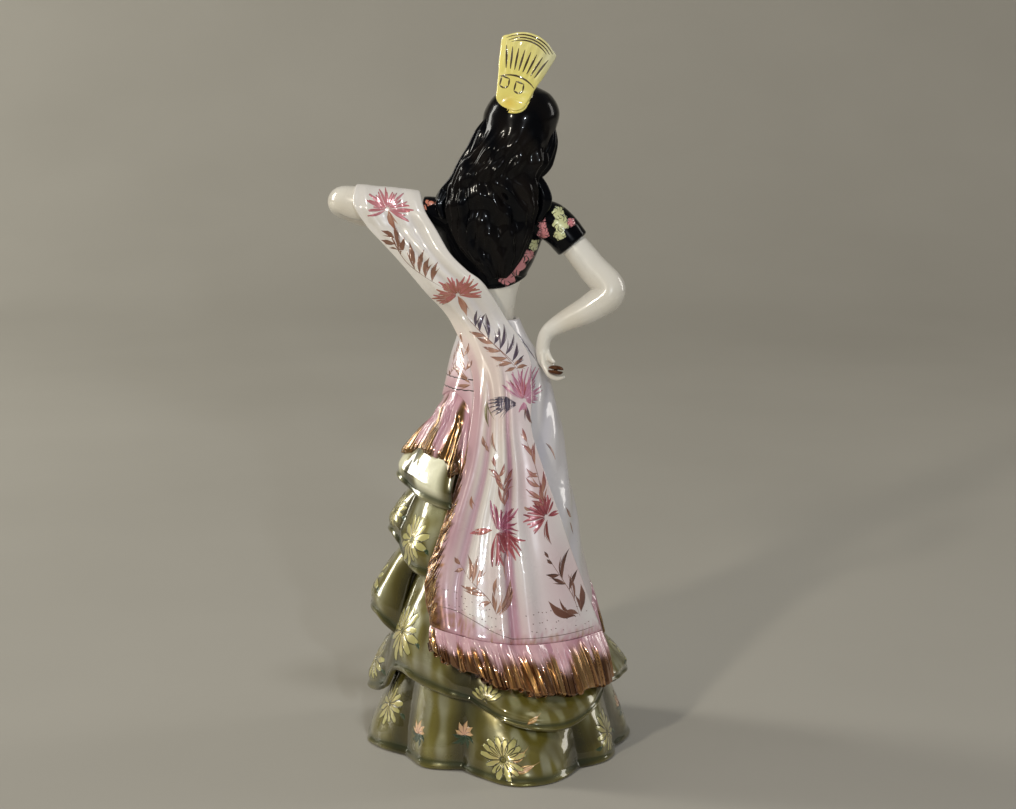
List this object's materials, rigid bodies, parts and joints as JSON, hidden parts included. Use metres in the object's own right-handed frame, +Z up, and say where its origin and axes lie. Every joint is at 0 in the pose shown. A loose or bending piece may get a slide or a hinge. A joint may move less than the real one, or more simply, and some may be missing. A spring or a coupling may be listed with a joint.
{
  "type": "souvenir figurine",
  "caption": "Glazed ceramic flamenco dancer with a fan comb, long black hair, a fringed shawl over one arm and a flounced skirt; free-standing ornament.",
  "frame": {"origin": "centre of the flat foot, on the surface the figurine stands on", "axes": "+Z up, -Y the way the dancer faces, +X towards her left arm"},
  "size_m": [0.1547, 0.1473, 0.3634],
  "materials": {
    "olive_lustre": "glossy olive-green lustre glaze, painted with cream and yellow-green daisies",
    "gold_lustre": "gold-brown metallic lustre over combed strands",
    "brown_glaze": "dark brown gloss glaze",
    "black_glaze": "deep black gloss glaze",
    "ivory_glaze": "clear gloss glaze over ivory underglaze",
    "blush_glaze": "clear gloss glaze over white with soft pink blush, painted flowers and sprigs",
    "bodice_black": "black gloss glaze with painted flowers; the bare waist is ivory",
    "comb_yellow": "pale yellow gloss glaze with brown painted lines",
    "body_glaze": "clear gloss glaze outside, bare clay under the foot"
  },
  "bodies": {
    "root": {"skirt_core": "body_glaze", "flounce_1": "olive_lustre", "flounce_2": "olive_lustre", "flounce_3": "olive_lustre", "flounce_4": "olive_lustre", "flounce_5": "olive_lustre", "torso": "bodice_black", "head": "ivory_glaze", "hair": "black_glaze", "hair_lock_left": "black_glaze", "hair_lock_right": "black_glaze", "comb": "comb_yellow", "arm_left": "ivory_glaze", "arm_right": "ivory_glaze", "castanet_left": "brown_glaze", "castanet_right": "brown_glaze", "shawl": "blush_glaze", "shawl_wrap": "blush_glaze", "fringe_back": "gold_lustre", "fringe_wrap": "gold_lustre"}
  },
  "joints": []
}
